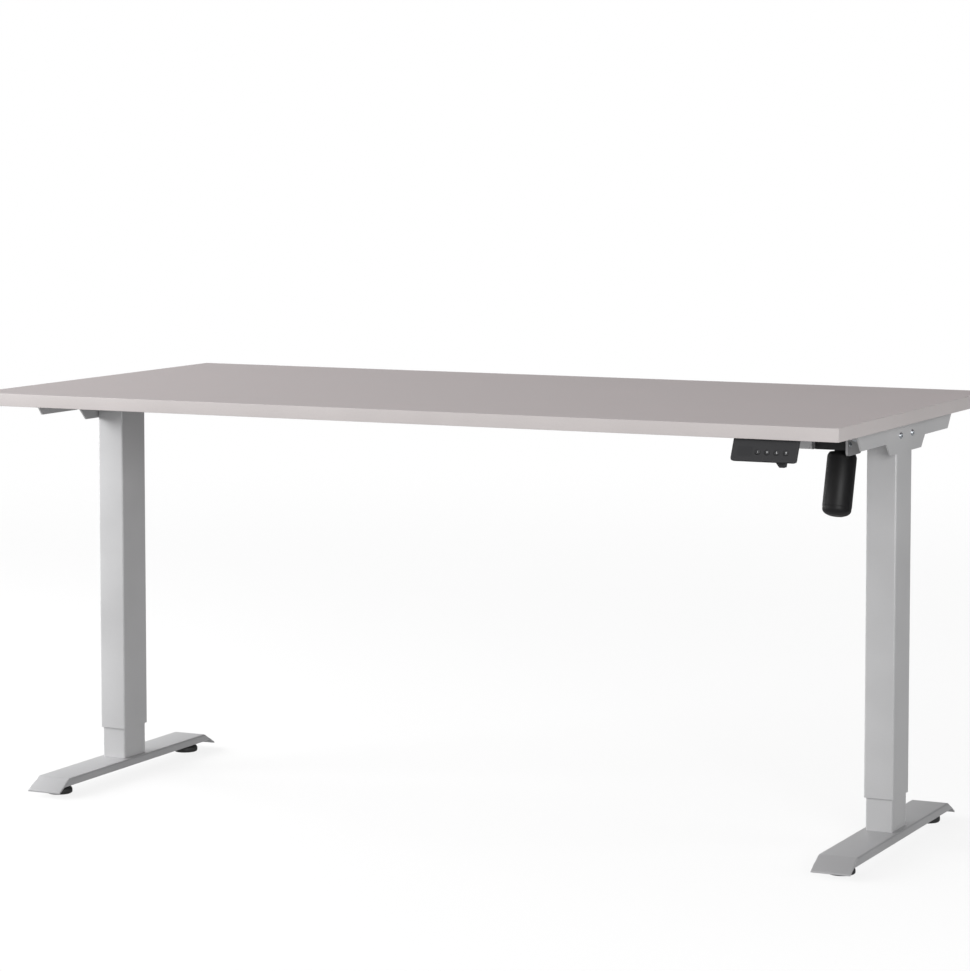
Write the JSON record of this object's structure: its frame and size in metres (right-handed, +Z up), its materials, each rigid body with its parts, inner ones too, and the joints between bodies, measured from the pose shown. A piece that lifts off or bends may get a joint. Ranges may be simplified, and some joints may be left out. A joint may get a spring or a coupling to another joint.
{
  "type": "height adjustable desk",
  "caption": "Rectangular desktop on telescopic columns with long flat feet, raised by one motor through a cross shaft, with a push-button handset under the front edge.",
  "frame": {"origin": "on the floor, under the middle of the desk", "axes": "+X to the user's right along the desktop's length, +Y from the user's side to the rear, +Z up"},
  "size_m": [1.6, 0.8108, 0.74],
  "materials": {
    "melamine_board": "light warm grey melamine-faced chipboard, satin",
    "edge_band": "light grey ABS edge band, satin",
    "zinc_screws": "zinc plated",
    "frame_paint": "fine textured silver-grey powder coat",
    "slide_plastic": "moulded black acetal",
    "cast_housing": "die cast, as cast",
    "bright_steel": "ground steel, oiled",
    "gear_plastic": "natural white acetal",
    "gearcase_plastic": "moulded black glass-filled nylon",
    "motor_black": "satin black enamel",
    "handset_plastic": "moulded black ABS, fine grain",
    "handset_gloss": "smooth black acrylic panel",
    "button_plastic": "moulded black ABS with a pale printed mark",
    "box_plastic": "moulded black ABS, fine grain",
    "circuit_board": "green solder mask",
    "glide_plastic": "moulded black polyethylene"
  },
  "bodies": {
    "left_base": {"left_inner_tube": "frame_paint", "left_upper_guide": "slide_plastic", "left_lift_nut": "gear_plastic", "left_foot": "frame_paint", "left_base_plug": "frame_paint", "left_foot_bolts": "zinc_screws"},
    "desk_top": {"desktop_board": "melamine_board", "desktop_edge_band": "edge_band", "desktop_screws": "zinc_screws", "left_side_bracket": "frame_paint", "right_side_bracket": "frame_paint", "frame_screws": "zinc_screws", "front_rail_sleeve": "frame_paint", "rear_rail_sleeve": "frame_paint", "left_rails": "frame_paint", "right_rails": "frame_paint", "left_outer_tube": "frame_paint", "right_outer_tube": "frame_paint", "left_lower_guide": "slide_plastic", "right_lower_guide": "slide_plastic", "left_gear_housing": "cast_housing", "right_gear_housing": "cast_housing", "left_screw_bearing": "bright_steel", "right_screw_bearing": "bright_steel", "motor_bracket": "frame_paint", "motor_gear_case": "gearcase_plastic", "motor_gear_cover": "gearcase_plastic", "motor_can": "motor_black", "motor_end_cap": "motor_black", "motor_screws": "zinc_screws", "handset_case": "handset_plastic", "handset_panel": "handset_gloss", "handset_socket": "handset_plastic", "control_box_base": "box_plastic", "control_box_lid": "box_plastic", "control_board": "circuit_board", "power_inlet": "box_plastic"},
    "right_base": {"right_inner_tube": "frame_paint", "right_upper_guide": "slide_plastic", "right_lift_nut": "gear_plastic", "right_foot": "frame_paint", "right_base_plug": "frame_paint", "right_foot_bolts": "zinc_screws"},
    "cross_drive": {"drive_shaft": "bright_steel", "left_shaft_gear": "bright_steel", "right_shaft_gear": "bright_steel", "worm_wheel": "gear_plastic"},
    "worm": {"motor_worm": "bright_steel"},
    "left_screw": {"left_lift_screw": "bright_steel", "left_screw_gear": "bright_steel"},
    "right_screw": {"right_lift_screw": "bright_steel", "right_screw_gear": "bright_steel"},
    "memory_one_button": {"memory_one_button": "button_plastic"},
    "memory_two_button": {"memory_two_button": "button_plastic"},
    "down_button": {"down_button": "button_plastic"},
    "up_button": {"up_button": "button_plastic"},
    "left_front_glide": {"left_front_glide": "glide_plastic"},
    "left_rear_glide": {"left_rear_glide": "glide_plastic"},
    "right_front_glide": {"right_front_glide": "glide_plastic"},
    "right_rear_glide": {"right_rear_glide": "glide_plastic"}
  },
  "joints": [
    {"name": "lift", "type": "slide", "parent": "left_base", "child": "desk_top", "axis": [0, 0, 1], "range_m": [-0.04, 0.43]},
    {"name": "right_leg", "type": "slide", "parent": "desk_top", "child": "right_base", "axis": [0, 0, 1], "range_m": [-0.43, 0.04]},
    {"name": "cross_shaft_turn", "type": "hinge", "parent": "desk_top", "child": "cross_drive", "pos_m": [0, 0, 0.692], "axis": [1, 0, 0], "range_deg": [-1442, 15482]},
    {"name": "worm_turn", "type": "hinge", "parent": "desk_top", "child": "worm", "pos_m": [0.66, 0.02403, 0.68511], "axis": [0, 0.2756, 0.9613], "range_deg": [-464460, 43260]},
    {"name": "left_screw_turn", "type": "hinge", "parent": "desk_top", "child": "left_screw", "pos_m": [-0.748, 0, 0.4], "axis": [0, 0, 1], "range_deg": [-1442, 15482]},
    {"name": "right_screw_turn", "type": "hinge", "parent": "desk_top", "child": "right_screw", "pos_m": [0.748, 0, 0.4], "axis": [0, 0, 1], "range_deg": [-1442, 15482]},
    {"name": "memory_one_button_press", "type": "slide", "parent": "desk_top", "child": "memory_one_button", "axis": [0, 0.8988, -0.4384], "range_m": [0, 0.0008], "stiffness_N_per_m": 600, "springref_m": -0.0015},
    {"name": "memory_two_button_press", "type": "slide", "parent": "desk_top", "child": "memory_two_button", "axis": [0, 0.8988, -0.4384], "range_m": [0, 0.0008], "stiffness_N_per_m": 600, "springref_m": -0.0015},
    {"name": "down_button_press", "type": "slide", "parent": "desk_top", "child": "down_button", "axis": [0, 0.8988, -0.4384], "range_m": [0, 0.0008], "stiffness_N_per_m": 600, "springref_m": -0.0015},
    {"name": "up_button_press", "type": "slide", "parent": "desk_top", "child": "up_button", "axis": [0, 0.8988, -0.4384], "range_m": [0, 0.0008], "stiffness_N_per_m": 600, "springref_m": -0.0015},
    {"name": "left_front_glide_screw", "type": "slide", "parent": "left_base", "child": "left_front_glide", "axis": [0, 0, -1], "range_m": [0, 0.006]},
    {"name": "left_rear_glide_screw", "type": "slide", "parent": "left_base", "child": "left_rear_glide", "axis": [0, 0, -1], "range_m": [0, 0.006]},
    {"name": "right_front_glide_screw", "type": "slide", "parent": "right_base", "child": "right_front_glide", "axis": [0, 0, -1], "range_m": [0, 0.006]},
    {"name": "right_rear_glide_screw", "type": "slide", "parent": "right_base", "child": "right_rear_glide", "axis": [0, 0, -1], "range_m": [0, 0.006]}
  ],
  "couplings": [
    {"joint": "right_leg", "follows": "lift", "ratio": -1},
    {"joint": "cross_shaft_turn", "follows": "lift", "rad_per_m": 628.32},
    {"joint": "left_screw_turn", "follows": "lift", "rad_per_m": 628.32},
    {"joint": "right_screw_turn", "follows": "lift", "rad_per_m": 628.32},
    {"joint": "worm_turn", "follows": "lift", "rad_per_m": -18850}
  ]
}
